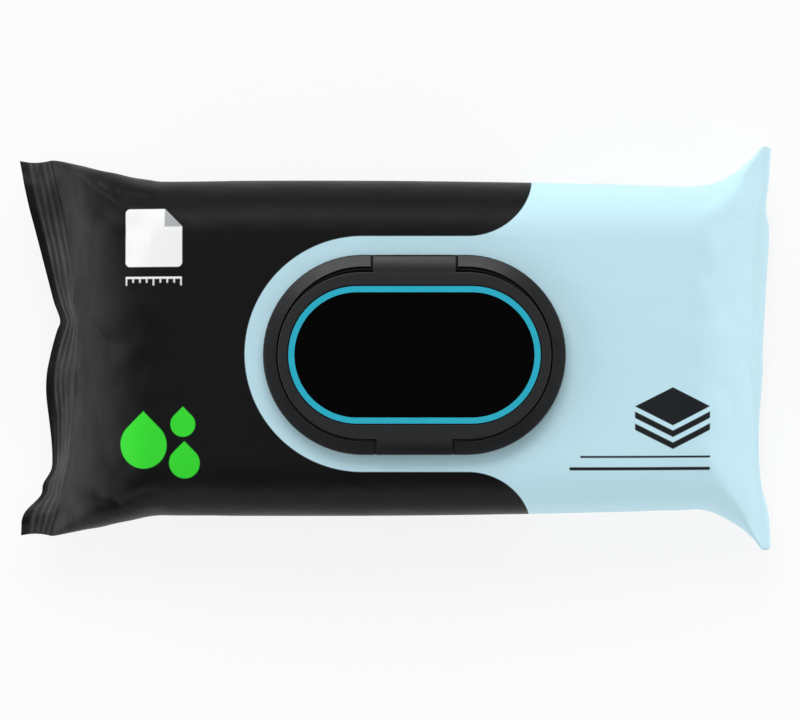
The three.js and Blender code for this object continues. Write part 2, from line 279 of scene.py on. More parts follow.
def relax(bm):
    """Lets the film of the ends settle as a cloth."""
    grips = [held(row, v.co) for row, v in zip(rows, bm.verts)]
    for v, grip in zip(bm.verts, grips):
        v.co += v.normal * UNEVEN * (1 - grip) * noise.noise(v.co / UNEVEN_SIZE)
    mesh = bpy.data.meshes.new("film_web")
    bmesh.ops.scale(bm, vec=(SIM_SCALE,) * 3, verts=bm.verts[:])
    bm.to_mesh(mesh)
    web = bpy.data.objects.new("film_web", mesh)
    bpy.context.scene.collection.objects.link(web)
    held_group = web.vertex_groups.new(name="held")
    slack_group = web.vertex_groups.new(name="slack")
    for k, row in enumerate(rows):
        held_group.add([k], grips[k], "REPLACE")
        slack_group.add([k], slack(row), "REPLACE")
    cloth = web.modifiers.new("film", "CLOTH").settings
    cloth.vertex_group_mass = "held"
    cloth.vertex_group_shrink = "slack"
    cloth.shrink_min, cloth.shrink_max = 0.0, -FILM_SLACK
    cloth.pin_stiffness = 4.0
    cloth.quality = 6
    cloth.mass = 0.2
    cloth.air_damping = 1.5
    cloth.tension_stiffness = cloth.compression_stiffness = 120
    cloth.shear_stiffness = 60
    cloth.bending_stiffness = 0.4
    cloth.tension_damping = cloth.compression_damping = cloth.shear_damping = 8
    cloth.bending_damping = 0.3
    cloth.use_pressure = True
    cloth.uniform_pressure_force = 0.5
    cloth.effector_weights.gravity = 0.0
    web.modifiers["film"].collision_settings.use_collision = False
    for step in range(1, FILM_STEPS + 1):
        bpy.context.scene.frame_set(step)
    settled = web.evaluated_get(bpy.context.evaluated_depsgraph_get()).to_mesh()
    for v, place in zip(bm.verts, settled.vertices):
        v.co = place.co
    bpy.data.objects.remove(web)
    bpy.context.scene.frame_set(1)
    bmesh.ops.scale(bm, vec=(1 / SIM_SCALE,) * 3, verts=bm.verts[:])


relax(bm)

# Small folds that the film keeps by its ears and by the buckle in its left seal, one of them a ridge: from
# and to, seen from above, how wide and how deep. They fade out where the film turns down its sides.
CREASE_FADE = 0.4
CREASES = [
    ((-100.0, 58.0), (-93.5, 53.0), 2.4, 1.9), ((-93.5, 53.0), (-82.0, 50.5), 3.0, 1.5),
    ((-99.0, 44.0), (-91.0, 39.0), 6.0, 1.7), ((-106.5, 32.0), (-103.0, 14.0), 3.0, 0.9),
    ((-102.0, -51.0), (-95.0, -53.0), 2.4, 1.9), ((-95.0, -53.0), (-83.0, -49.0), 4.0, 1.4),
    ((-103.0, -14.0), (-98.0, -38.0), 5.0, 1.0), ((-104.0, 1.5), (-97.5, 0.0), 2.4, 1.5),
    ((-110.0, 16.0), (-100.0, 4.0), 3.0, -1.3),
    ((121.0, 60.0), (103.0, 49.0), 3.0, 1.0), ((121.0, -60.0), (104.0, -50.0), 3.0, 1.0),
    ((118.0, 30.0), (113.0, 10.0), 4.0, 0.6), ((117.0, -36.0), (112.0, -14.0), 4.0, 0.6),
]


def creased(place):
    """How far the film is pressed in at a place by its small folds."""
    flat = Vector((place.x, place.y, 0))
    depth = 0.0
    for start, end, width, deepest in CREASES:
        start, end = Vector((*start, 0)), Vector((*end, 0))
        along = min(max(intersect_point_line(flat, start, end)[1], 0.0), 1.0)
        depth += deepest * math.exp(-(flat - start.lerp(end, along)).length / width)
    return depth


bm.normal_update()
for v in [v for v in bm.verts if v.normal.z > 0]:
    v.co -= v.normal * creased(v.co) * ease(v.normal.z / CREASE_FADE)
bmesh.ops.remove_doubles(bm, verts=bm.verts[:], dist=0.001)  # welds the two webs along the seals' edges
bmesh.ops.scale(bm, vec=(MM,) * 3, verts=bm.verts[:])


def new_piece(name, bm, materials):
    """Makes an object from a finished mesh, with its place in the mesh."""
    mesh = bpy.data.meshes.new(name)
    bm.to_mesh(mesh)
    bm.free()
    mesh.shade_smooth()
    for material in materials:
        mesh.materials.append(material)
    piece = bpy.data.objects.new(name, mesh)
    bpy.context.scene.collection.objects.link(piece)
    return piece


def linear(code):
    """An RGBA colour from a hex code."""
    parts = [int(code[i : i + 2], 16) / 255 for i in (1, 3, 5)]
    return [c / 12.92 if c <= 0.04045 else ((c + 0.055) / 1.055) ** 2.4 for c in parts] + [1.0]


def new_material(name):
    """A material, its node tree and its shader."""
    material = bpy.data.materials.new(name)
    material.use_nodes = True
    return material, material.node_tree, material.node_tree.nodes["Principled BSDF"]


def calc(tree, operation, *values):
    """A Math node on outputs and plain numbers."""
    node = tree.nodes.new("ShaderNodeMath")
    node.operation = operation
    for socket, value in zip(node.inputs, values):
        if isinstance(value, (int, float)):
            socket.default_value = value
        else:
            tree.links.new(value, socket)
    return node.outputs[0]


def vector(tree, operation, *values):
    """A Vector Math node on outputs and plain triples."""
    node = tree.nodes.new("ShaderNodeVectorMath")
    node.operation = operation
    for socket, value in zip(node.inputs, values):
        if isinstance(value, tuple):
            socket.default_value = value
        else:
            tree.links.new(value, socket)
    return node.outputs["Value"] if operation == "LENGTH" else node.outputs["Vector"]


def places(tree):
    """Where a point is on its object, in millimetres: as a vector, and as x, y and z."""
    coordinates = tree.nodes.new("ShaderNodeTexCoord").outputs["Object"]
    place = vector(tree, "MULTIPLY", coordinates, (1 / MM, 1 / MM, 1 / MM))
    split = tree.nodes.new("ShaderNodeSeparateXYZ")
    tree.links.new(place, split.inputs[0])
    return place, split.outputs


def joined(tree, x, y):
    """A flat vector from two outputs or numbers."""
    node = tree.nodes.new("ShaderNodeCombineXYZ")
    for socket, value in zip(node.inputs, (x, y)):
        if isinstance(value, (int, float)):
            socket.default_value = value
        else:
            tree.links.new(value, socket)
    return node.outputs[0]


def carried(tree, value, from_low, from_high, low, high):
    """Carries a range into another and stops at its ends."""
    node = tree.nodes.new("ShaderNodeMapRange")
    numbers = (from_low, from_high, low, high)
    for socket, number in zip(("From Min", "From Max", "To Min", "To Max"), numbers):
        node.inputs[socket].default_value = number
    tree.links.new(value, node.inputs["Value"])
    return node.outputs[0]


INK_SPREAD = 0.15


def inked(tree, distance):
    """1 inside an outline and 0 outside it, with the slight spread of printed ink."""
    return carried(tree, distance, INK_SPREAD, -INK_SPREAD, 0.0, 1.0)


def paint(tree, under, over, mask):
    """Lays an ink over a colour; either is an output or a hex code."""
    node = tree.nodes.new("ShaderNodeMix")
    node.data_type = "RGBA"
    tree.links.new(mask, node.inputs["Factor"])
    colours = [socket for socket in node.inputs if socket.type == "RGBA"]
    for socket, colour in zip(colours, (under, over)):
        if isinstance(colour, str):
            socket.default_value = linear(colour)
        else:
            tree.links.new(colour, socket)
    return next(socket for socket in node.outputs if socket.type == "RGBA")


def grain(tree, place, size, detail=2.0, stretch=(1.0, 1.0, 1.0)):
    """Noise with blotches about this many millimetres across."""
    node = tree.nodes.new("ShaderNodeTexNoise")
    node.inputs["Scale"].default_value = 1 / size
    node.inputs["Detail"].default_value = detail
    tree.links.new(vector(tree, "DIVIDE", place, stretch), node.inputs["Vector"])
    return node.outputs["Fac"]


NOISE_LOW, NOISE_HIGH = 0.3, 0.7  # most of a noise lies between these


def uneven_gloss(tree, shader, blotches, glossy, dull):
    """Lets the roughness wander between two values with a noise."""
    roughness = carried(tree, blotches, NOISE_LOW, NOISE_HIGH, glossy, dull)
    tree.links.new(roughness, shader.inputs["Roughness"])


def emboss(tree, shader, height, depth):
    """Bump of this depth in millimetres."""
    node = tree.nodes.new("ShaderNodeBump")
    node.inputs["Distance"].default_value = depth * MM
    tree.links.new(height, node.inputs["Height"])
    tree.links.new(node.outputs[0], shader.inputs["Normal"])


# The print: black film to the left, pale blue to the right and in a margin round the lid, with plain
# pictures of a sheet over a line of measuring marks, three drops, and a stack of sheets over two rules.
FILM_BLACK = "#0d0d0e"
FILM_BLUE = "#c6eaf5"
INK_WHITE = "#f1f1f1"
INK_FOLD = "#a9adb0"
INK_GREEN = "#37d633"
INK_DARK = "#1d2124"
SCUFF_AND_SHEEN = "#dcdcdc"  # fine creasing by the seals whitens the film a little, and this pale colour is also painted light on the left end and on the ribs' tops
SCUFF_AND_SHEEN_LEAST, SCUFF_AND_SHEEN_MOST = 0.044, 0.11
MARGIN_HALF = 39.4  # half of the pale margin's height round the lid
MARGIN_Y = -2.0
MARGIN_ARC_X = -11.3  # middle of its round end
CORNER_X = 23.9  # where the black field's round corners begin
CORNER_RADIUS = 22.3
SIDE_HEIGHT, BACK_HEIGHT = 24.0, 8.0  # down the sides the fields come to meet on a straight line
SHEET_X, SHEET_Y, SHEET_SIZE, SHEET_FOLD = -81.5, 37.0, 19.5, 6.0
MARKS_Y, MARK_PITCH, MARK_WIDTH, MARKS_LINE = 23.6, 2.35, 0.6, 0.7
MARK_PITCHES, LONG_MARK_EVERY = 8, 4
MARK_LENGTH, LONG_MARK_LENGTH = 1.7, 2.6
MARKS_BAND_Y, MARKS_BAND = MARKS_Y - 1.2, 3.0  # the marks are printed only within this band
DROPS = [(-85.0, -32.5, 8.0), (-71.5, -25.5, 4.2), (-71.0, -38.5, 5.2)]
STACK_X, STACK_Y, STACK_HALF_WIDTH, STACK_HALF_HEIGHT, STACK_STEP = 92.6, -19.5, 12.8, 6.4, 4.0
EDGE_BELOW, EDGE_HALF = 2.8, 1.1  # how far below the sheet above an edge's middle is, and half of its height
EDGES_FROM, EDGES_TO = 1.2, 8.4  # the two lower sheets' edges lie between these
RULES = [(-36.4, 44.0, 0.7), (-40.4, 47.6, 1.1)]
RULES_RIGHT = 105.4

film_material, tree, shader = new_material("printed_film")
place, (x, y, z) = places(tree)
flat = vector(tree, "MULTIPLY", place, (1.0, 1.0, 0.0))


def black_field():
    """Film that is black: to the left of two round corners and outside the pale margin round the lid."""
    across = calc(tree, "ABSOLUTE", calc(tree, "SUBTRACT", y, MARGIN_Y))
    beyond = calc(tree, "MAXIMUM", calc(tree, "SUBTRACT", x, CORNER_X), 0.0)
    below = calc(tree, "MAXIMUM", calc(tree, "SUBTRACT", MARGIN_HALF + CORNER_RADIUS, across), 0.0)
    corner = calc(tree, "SUBTRACT", vector(tree, "LENGTH", joined(tree, beyond, below)), CORNER_RADIUS)
    left = calc(tree, "MINIMUM", calc(tree, "SUBTRACT", x, MARGIN_ARC_X), 0.0)
    margin = calc(tree, "SUBTRACT", MARGIN_HALF, vector(tree, "LENGTH", joined(tree, left, across)))
    margin = calc(tree, "MAXIMUM", margin, calc(tree, "SUBTRACT", x, CORNER_X))
    front_edge = calc(tree, "MINIMUM", corner, margin)
    back_edge = calc(tree, "SUBTRACT", x, CORNER_X + CORNER_RADIUS)
    under = carried(tree, z, SIDE_HEIGHT, BACK_HEIGHT, 0.0, 1.0)
    change = calc(tree, "MULTIPLY", under, calc(tree, "SUBTRACT", back_edge, front_edge))
    return inked(tree, calc(tree, "ADD", front_edge, change))


def block(where, middle, size, corner):
    """A block with round corners."""
    beyond = vector(tree, "ABSOLUTE", vector(tree, "SUBTRACT", where, (*middle, 0.0)))
    beyond = vector(tree, "SUBTRACT", beyond, (size[0] / 2 - corner, size[1] / 2 - corner, 0.0))
    beyond = vector(tree, "LENGTH", vector(tree, "MAXIMUM", beyond, (0.0, 0.0, 0.0)))
    return inked(tree, calc(tree, "SUBTRACT", beyond, corner))


def marks():
    """A line with short marks along it, every fourth one longer."""
    whole_length = MARK_PITCHES * MARK_PITCH + MARK_WIDTH
    line = block(flat, (SHEET_X, MARKS_Y), (whole_length, MARKS_LINE), corner=0.3)
    band = block(flat, (SHEET_X, MARKS_BAND_Y), (whole_length, MARKS_BAND), corner=0.1)
    from_middle = calc(tree, "SUBTRACT", x, SHEET_X)
    for pitch, length in ((MARK_PITCH, MARK_LENGTH), (LONG_MARK_EVERY * MARK_PITCH, LONG_MARK_LENGTH)):
        repeated = joined(tree, calc(tree, "WRAP", from_middle, pitch / 2, -pitch / 2), y)
        mark = block(repeated, (0.0, MARKS_Y - length / 2), (MARK_WIDTH, length), corner=0.25)
        line = calc(tree, "MAXIMUM", line, calc(tree, "MULTIPLY", mark, band))
    return line


def drop(drop_x, drop_y, radius):
    """A drop with its point up: a disc with one square corner."""
    from_middle = vector(tree, "SUBTRACT", flat, (drop_x, drop_y, 0.0))
    turned = tree.nodes.new("ShaderNodeVectorRotate")
    turned.rotation_type = "Z_AXIS"
    turned.inputs["Angle"].default_value = math.radians(-45)
    tree.links.new(from_middle, turned.inputs["Vector"])
    split = tree.nodes.new("ShaderNodeSeparateXYZ")
    tree.links.new(turned.outputs[0], split.inputs[0])
    a, b = split.outputs[0], split.outputs[1]
    disc = vector(tree, "LENGTH", from_middle)
    square = calc(tree, "MAXIMUM", a, b)
    pointed = calc(tree, "GREATER_THAN", calc(tree, "MINIMUM", a, b), 0.0)
    change = calc(tree, "MULTIPLY", pointed, calc(tree, "SUBTRACT", square, disc))
    return inked(tree, calc(tree, "SUBTRACT", calc(tree, "ADD", disc, change), radius))


def stack():
    """A lozenge on two more, of which only the near edges show."""
    half_size = (STACK_HALF_WIDTH, STACK_HALF_HEIGHT, 1.0)
    reach = vector(tree, "ABSOLUTE", vector(tree, "SUBTRACT", flat, (STACK_X, STACK_Y, 0.0)))
    split = tree.nodes.new("ShaderNodeSeparateXYZ")
    tree.links.new(vector(tree, "DIVIDE", reach, half_size), split.inputs[0])
    top = calc(tree, "SUBTRACT", calc(tree, "ADD", split.outputs[0], split.outputs[1]), 1.0)
    shape = inked(tree, calc(tree, "MULTIPLY", top, STACK_HALF_HEIGHT))
    # How far below the top sheet's near edge a place is, repeated with every step
    past_side = calc(tree, "SUBTRACT", split.outputs[0], 1.0)
    edge = calc(tree, "MULTIPLY", past_side, STACK_HALF_HEIGHT)
    below = calc(tree, "SUBTRACT", calc(tree, "ADD", edge, STACK_Y), y)
    repeated = calc(tree, "WRAP", below, EDGE_BELOW + STACK_STEP / 2, EDGE_BELOW - STACK_STEP / 2)
    from_edge = calc(tree, "ABSOLUTE", calc(tree, "SUBTRACT", repeated, EDGE_BELOW))
    edges = inked(tree, calc(tree, "SUBTRACT", from_edge, EDGE_HALF))
    for limit in (
        calc(tree, "GREATER_THAN", below, EDGES_FROM),
        calc(tree, "LESS_THAN", below, EDGES_TO),
        inked(tree, calc(tree, "MULTIPLY", past_side, STACK_HALF_WIDTH)),
    ):
        edges = calc(tree, "MULTIPLY", edges, limit)
    return calc(tree, "MAXIMUM", shape, edges)


def largest(masks):
    """Several inked shapes as one."""
    most = masks[0]
    for mask in masks[1:]:
        most = calc(tree, "MAXIMUM", most, mask)
    return most


front = calc(tree, "GREATER_THAN", z, BACK_HEIGHT)
past_fold = calc(tree, "SUBTRACT", calc(tree, "ADD", x, y), SHEET_X + SHEET_Y + SHEET_SIZE - SHEET_FOLD)
whole = inked(tree, past_fold)
sheet = calc(tree, "MULTIPLY", block(flat, (SHEET_X, SHEET_Y), (SHEET_SIZE, SHEET_SIZE), corner=1.6), whole)
flap_middle = [middle + (SHEET_SIZE - SHEET_FOLD) / 2 for middle in (SHEET_X, SHEET_Y)]
flap = calc(tree, "MULTIPLY", block(flat, flap_middle, (SHEET_FOLD, SHEET_FOLD), corner=0.3), whole)
rules = [
    block(flat, (RULES_RIGHT - length / 2, rule_y), (length, width), corner=0.45 * width)
    for rule_y, length, width in RULES
]
colour = paint(tree, FILM_BLUE, FILM_BLACK, black_field())
for ink, mask in (
    (INK_WHITE, largest([sheet, marks()])),
    (INK_FOLD, flap),
    (INK_GREEN, largest([drop(*one) for one in DROPS])),
    (INK_DARK, largest([stack(), *rules])),
):
    colour = paint(tree, colour, ink, calc(tree, "MULTIPLY", mask, front))
# A pale colour is laid over the film where the worn attribute is set. It is partly the whitening of creased
# film and partly painted light on the left end's slopes and on the crests of the crimp's ribs.
wear_and_sheen_node = tree.nodes.new("ShaderNodeAttribute")
wear_and_sheen_node.attribute_name = "worn_and_sheen"
streaks = grain(tree, place, size=5.0, stretch=(1.0, 3.0, 1.0))
streaks = carried(tree, streaks, NOISE_LOW, NOISE_HIGH, SCUFF_AND_SHEEN_LEAST, SCUFF_AND_SHEEN_MOST)
scuffed_and_sheen = calc(tree, "MULTIPLY", wear_and_sheen_node.outputs["Fac"], streaks)
tree.links.new(paint(tree, colour, SCUFF_AND_SHEEN, scuffed_and_sheen), shader.inputs["Base Color"])
shader.inputs["Specular IOR Level"].default_value = 0.12
ripples = grain(tree, place, size=9.0, stretch=(1.6, 1.0, 1.0))
uneven_gloss(tree, shader, ripples, glossy=0.38, dull=0.46)
emboss(tree, shader, ripples, depth=0.3)

film = new_piece("film_pouch_film", bm, [film_material])
smoother = film.modifiers.new("smooth_film", "SUBSURF")
smoother.levels = smoother.render_levels = 1
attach(film, "pouch")
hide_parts("film_pouch")


# Back weld. The two edges of the web are welded face to face into a fin along the back, which is folded
# flat to one side and runs into both end seals. The weld has fine cross-ribs.

FIN_WIDTH = 12.0
FIN_THICKNESS = 0.24
FIN_ROOT = -5.0
FIN_FROM, FIN_TO = -110.0, 120.0
FIN_RIBS, FIN_RIB_HEIGHT = 150, 0.05
FIN_GAP = 0.3  # the fold keeps the fin this far off the film
WELD_FADE = 0.1  # the ribs cover the fin's outer half and fade out over this share of its width
BELOW_PACK = -10.0

under_film = BVHTree.FromObject(film, bpy.context.evaluated_depsgraph_get())
bm = bmesh.new()
bmesh.ops.create_grid(bm, x_segments=3 * FIN_RIBS, y_segments=6, size=0.5)
for v in bm.verts:
    x = mix(FIN_FROM, FIN_TO, v.co.x + 0.5)
    y = FIN_ROOT - FIN_WIDTH * (0.5 - v.co.y)
    welded = ease((WELD_FADE - v.co.y) / WELD_FADE)
    rib = FIN_RIB_HEIGHT * welded * math.sin(2 * math.pi * FIN_RIBS * v.co.x)
    hit = under_film.ray_cast(Vector((x, y, BELOW_PACK)) * MM, Vector((0, 0, 1)))[0]
    v.co = Vector((x * MM, y * MM, hit.z - (FIN_GAP + rib) * MM))
bmesh.ops.solidify(bm, geom=bm.faces[:], thickness=FIN_THICKNESS * MM)
bmesh.ops.recalc_face_normals(bm, faces=bm.faces[:])
fin = new_piece("back_weld", bm, [film_material])
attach(fin, "pouch")


# Peel seal. A white film label is stuck over the dispensing cut and comes up by its tinted pull tab,
# which is not stuck down and curls up a little.

lid_low, lid_high = (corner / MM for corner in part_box("lid_frame"))
LID_X, LID_Y = (lid_low.x + lid_high.x) / 2, (lid_low.y + lid_high.y) / 2
ARC_STEPS = 40


def stadium(bm, length, width, height):
    """A loop of edges: two half turns and the straight sides between them."""
    before = set(bm.edges)
    half, radius = (length - width) / 2, width / 2
    corners = []
    for side in (1, -1):
        start = bmesh.ops.create_vert(bm, co=(side * half, -side * radius, height))["vert"][0]
        turned = bmesh.ops.spin(
            bm, geom=[start], cent=(side * half, 0, height), axis=(0, 0, 1), angle=math.pi, steps=ARC_STEPS,
        )
        corners += [start, turned["geom_last"][0]]
    bmesh.ops.contextual_create(bm, geom=corners[1:3])
    bmesh.ops.contextual_create(bm, geom=[corners[3], corners[0]])
    return [e for e in bm.edges if e not in before]


def inset_stations(length, width, profile):
    """Stations of a stadium's wall from (inset, height) points."""
    return [(length - 2 * inset, width - 2 * inset, height) for inset, height in profile]


def skin(bm, stations):
    """Carries a stadium through (length, width, height) stations, with a wall between each two."""
    loop = stadium(bm, *stations[0])
    walls = []
    for (length, width, _), (next_length, next_width, height) in zip(stations, stations[1:]):
        drawn = bmesh.ops.extrude_edge_only(bm, edges=loop)["geom"]
        loop = [item for item in drawn if isinstance(item, bmesh.types.BMEdge)]
        walls.append([item for item in drawn if isinstance(item, bmesh.types.BMFace)])
        for v in [item for item in drawn if isinstance(item, bmesh.types.BMVert)]:
            middle = math.copysign((length - width) / 2, v.co.x)
            next_middle = math.copysign((next_length - next_width) / 2, v.co.x)
            grown = next_width / width
            v.co = Vector((next_middle + (v.co.x - middle) * grown, v.co.y * grown, height))
    return walls


def close_up(bm):
    """Joins what meets, fills what is open and turns every face outwards."""
    bmesh.ops.remove_doubles(bm, verts=bm.verts[:], dist=0.0005)
    bmesh.ops.holes_fill(bm, edges=[e for e in bm.edges if e.is_boundary], sides=0)
    bmesh.ops.recalc_face_normals(bm, faces=bm.faces[:])


def to_lid(bm):
    """Moves a mesh from the lid's own millimetres to its place on the pack."""
    place = Matrix.Translation((LID_X * MM, LID_Y * MM, pouch_top * MM)) @ Matrix.Scale(MM, 4)
    bmesh.ops.transform(bm, matrix=place, verts=bm.verts[:])


PEEL_LENGTH, PEEL_WIDTH = 61.5, 28.0
PEEL_X = -2.25
PULL_LENGTH, PULL_WIDTH = 18.0, 13.0
PULL_OUT = 4.5  # how far the tab stands out past the end of the seal
PULL_CURL, CURL_FROM = 1.1, PEEL_LENGTH / 2 - 2.0
TINTED_FROM = PEEL_LENGTH / 2 - 2.5
PEEL_WHITE, PULL_BLUE = "#e9edee", "#2ab0c9"
# Sections from the rim inwards, as (inset, height) points; the seal has a pressed line inside its rim
PULL_SECTION = [(0.0, 0.03), (0.0, 0.11), (0.1, 0.15), (6.0, 0.15)]
PEEL_SECTION = [(0.0, 0.02), (0.0, 0.18), (0.15, 0.26), (2.5, 0.26), (2.8, 0.2), (3.1, 0.26)]

bm = bmesh.new()
skin(bm, inset_stations(PULL_LENGTH, PULL_WIDTH, PULL_SECTION))
close_up(bm)
pull_end = PEEL_LENGTH / 2 + PULL_OUT
bmesh.ops.translate(bm, vec=(pull_end - PULL_LENGTH / 2, 0, 0), verts=bm.verts[:])
for v in bm.verts:
    v.co.z += PULL_CURL * max((v.co.x - CURL_FROM) / (pull_end - CURL_FROM), 0) ** 2
skin(bm, inset_stations(PEEL_LENGTH, PEEL_WIDTH, PEEL_SECTION))
close_up(bm)
bmesh.ops.translate(bm, vec=(PEEL_X, 0, 0), verts=bm.verts[:])
to_lid(bm)

seal_material, tree, shader = new_material("white_film")
place, (x, y, z) = places(tree)
tinted = inked(tree, calc(tree, "SUBTRACT", LID_X + PEEL_X + TINTED_FROM, x))
tree.links.new(paint(tree, PEEL_WHITE, PULL_BLUE, tinted), shader.inputs["Base Color"])
ripples = grain(tree, place, size=5.0)
uneven_gloss(tree, shader, ripples, glossy=0.3, dull=0.42)
emboss(tree, shader, ripples, depth=0.12)

peel_seal = new_piece("peel_seal_film", bm, [seal_material])
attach(peel_seal, "pouch")
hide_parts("peel_seal")


# Lid glue. A flat bead of hot-melt glue runs round under the frame's floor and holds the lid to the film.
# It is pressed flat as the frame is set down, so its edge bulges a little.

FRAME_LENGTH, FRAME_WIDTH = lid_high.x - lid_low.x, lid_high.y - lid_low.y
OPENING_LENGTH, OPENING_WIDTH = 72.0, 34.0
GLUE_INSET, GLUE_BULGE = 1.5, 0.1
GLUE_PALE, GLUE_DARK = "#d8d2bd", "#c9c0a4"
FRAME_BASE = lid_low.z - pouch_top

bm = bmesh.new()
outer = inset_stations(FRAME_LENGTH, FRAME_WIDTH, [
    (GLUE_INSET + GLUE_BULGE, 0.0), (GLUE_INSET, FRAME_BASE / 2), (GLUE_INSET + GLUE_BULGE, FRAME_BASE),
])
inner = inset_stations(OPENING_LENGTH, OPENING_WIDTH, [(-GLUE_INSET, FRAME_BASE), (-GLUE_INSET, 0.0)])
skin(bm, outer + inner + outer[:1])
close_up(bm)
to_lid(bm)
glue_material, tree, shader = new_material("glue")
place = places(tree)[0]
strings = grain(tree, place, size=2.0)
tree.links.new(paint(tree, GLUE_PALE, GLUE_DARK, strings), shader.inputs["Base Color"])
uneven_gloss(tree, shader, strings, glossy=0.35, dull=0.5)
emboss(tree, shader, strings, depth=0.1)

glue = new_piece("lid_glue", bm, [glue_material])
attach(glue, "pouch")
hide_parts("lid_adhesive")


# Lid frame. Moulded in charcoal polypropylene in one shot with the lid: a floor with an upstand round its
# opening, and a raised border whose top slopes to its outside and stops at the hinge and at the thumb tab.

FLOOR_TOP = FRAME_BASE + 1.2
RING_TOP = lid_high.z - pouch_top
RING_WIDTH = 4.5
RING_TILT = math.radians(21)  # the slope of the border's top
RING_ROUND = 0.6
RING_FOOT = [(0.12, FRAME_BASE), (0.0, FRAME_BASE + 0.3)]  # its outside by the film: (inset, height)
BACK_NARROWER = 0.6
RIM_WALL = 1.4
RIM_TOP = FLOOR_TOP + 2.6
RING_DRAFT, RIM_DRAFT = 0.1, 0.15  # the mould's taper on the border's inside and the upstand's outside
HINGE_TAB, THUMB_TAB = 27.4, 25.0
TAB_GAP = 0.7
HINGE_HEIGHT = RING_TOP - 2.1
HINGE_WEB = 1.0  # height of the strip that bends
SUNK = 0.05  # where mouldings run into each other, their faces are kept this far apart
WALL_LAP = 0.2  # how far the low wall at the hinge runs into the border on either side
CHARCOAL_DARK, CHARCOAL = "#131416", "#17181a"
frame_edge = FRAME_WIDTH / 2


def border_edge(width, top, steps=6):
    """The border's outside as (inset, height) points: a round edge, then a slope up to its top."""
    turns = [(math.pi / 2 - RING_TILT) * k / steps for k in range(steps + 1)]
    arc = [(RING_ROUND * (1 - math.cos(a)), RING_ROUND * math.sin(a)) for a in turns]
    foot = top - math.tan(RING_TILT) * (width - arc[-1][0]) - arc[-1][1]
    return [(inset, foot + height) for inset, height in arc] + [(width, top)]


def bar(bm, profile, width):
    """A bar along X with this profile of (across, height) points."""
    corners = [bmesh.ops.create_vert(bm, co=(-width / 2, y, z))["vert"][0] for y, z in profile]
    face = bmesh.ops.contextual_create(bm, geom=corners)["faces"]
    drawn = bmesh.ops.extrude_face_region(bm, geom=face)["geom"]
    moved = [item for item in drawn if isinstance(item, bmesh.types.BMVert)]
    bmesh.ops.translate(bm, vec=(width, 0, 0), verts=moved)


def cut_gap(bm, side, width):
    """Takes a stretch out of the border at the back (side 1) or the front (side -1)."""
    for x in (-width / 2, width / 2):
        bmesh.ops.bisect_plane(
            bm, geom=bm.verts[:] + bm.edges[:] + bm.faces[:], plane_co=(x, 0, 0), plane_no=(1, 0, 0),
        )
    middles = [(f, f.calc_center_median()) for f in bm.faces]
    stretch = [f for f, middle in middles if abs(middle.x) < width / 2 and middle.y * side > 0]
    bmesh.ops.delete(bm, geom=stretch, context="FACES")


def soften(piece, width):
    """Rounds a moulding's edges."""
    bevel = piece.modifiers.new("soft_edges", "BEVEL")
    bevel.width = width * MM
    bevel.segments = 2
    bevel.limit_method = "ANGLE"
    bevel.angle_limit = math.radians(35)
    bevel.harden_normals = True


bm = bmesh.new()
border = RING_FOOT + border_edge(RING_WIDTH, RING_TOP) + [(RING_WIDTH + RING_DRAFT, FRAME_BASE)]
border = inset_stations(FRAME_LENGTH, FRAME_WIDTH, border)
skin(bm, border + border[:1])
bmesh.ops.remove_doubles(bm, verts=bm.verts[:], dist=0.0005)
for v in bm.verts:  # behind the lid the border's top is narrower, to leave room for the lid's swing
    if v.co.z > RING_TOP - 0.01 and v.co.y > 0:
        v.co.y += BACK_NARROWER * (v.co.y / frame_edge) ** 2
cut_gap(bm, 1, HINGE_TAB + 2 * TAB_GAP)
cut_gap(bm, -1, THUMB_TAB + 2 * TAB_GAP)
close_up(bm)
floor_edge = inset_stations(FRAME_LENGTH, FRAME_WIDTH, [(SUNK, FRAME_BASE + SUNK), (SUNK, FLOOR_TOP)])
upstand = inset_stations(OPENING_LENGTH, OPENING_WIDTH, [
    (-RIM_WALL, FLOOR_TOP), (-RIM_WALL + RIM_DRAFT, RIM_TOP), (0.0, RIM_TOP), (0.0, FRAME_BASE + SUNK),
])
skin(bm, floor_edge + upstand + floor_edge[:1])
wall_foot, wall_top = FRAME_BASE + 2 * SUNK, HINGE_HEIGHT - HINGE_WEB / 2
bar(bm, [
    (frame_edge, wall_foot), (frame_edge, wall_top),
    (frame_edge - RING_WIDTH, wall_top), (frame_edge - RING_WIDTH, wall_foot),
], HINGE_TAB + 2 * (TAB_GAP + WALL_LAP))
close_up(bm)
to_lid(bm)

plastic, tree, shader = new_material("lid_plastic")
place = places(tree)[0]
spark = grain(tree, place, size=0.35)
cloud = grain(tree, place, size=14.0)
tree.links.new(paint(tree, CHARCOAL_DARK, CHARCOAL, cloud), shader.inputs["Base Color"])
uneven_gloss(tree, shader, cloud, glossy=0.3, dull=0.38)
emboss(tree, shader, spark, depth=0.03)
shader.inputs["Specular IOR Level"].default_value = 0.36

lid_frame = new_piece("lid_frame_moulding", bm, [plastic])
soften(lid_frame, width=0.2)
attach(lid_frame, "pouch")
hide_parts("lid_frame")


# Living hinge. A thin strip of the same plastic along the back edge joins the frame's low wall to the lid's
# hinge tab and bends as the lid opens.

WEB_THICKNESS = 0.4
WEB_SHORTER = 1.0  # than the hinge tab
WEB_LAP = 0.15  # how far the strip runs into the wall below it and the tab above it
WEB_BENDS = 12

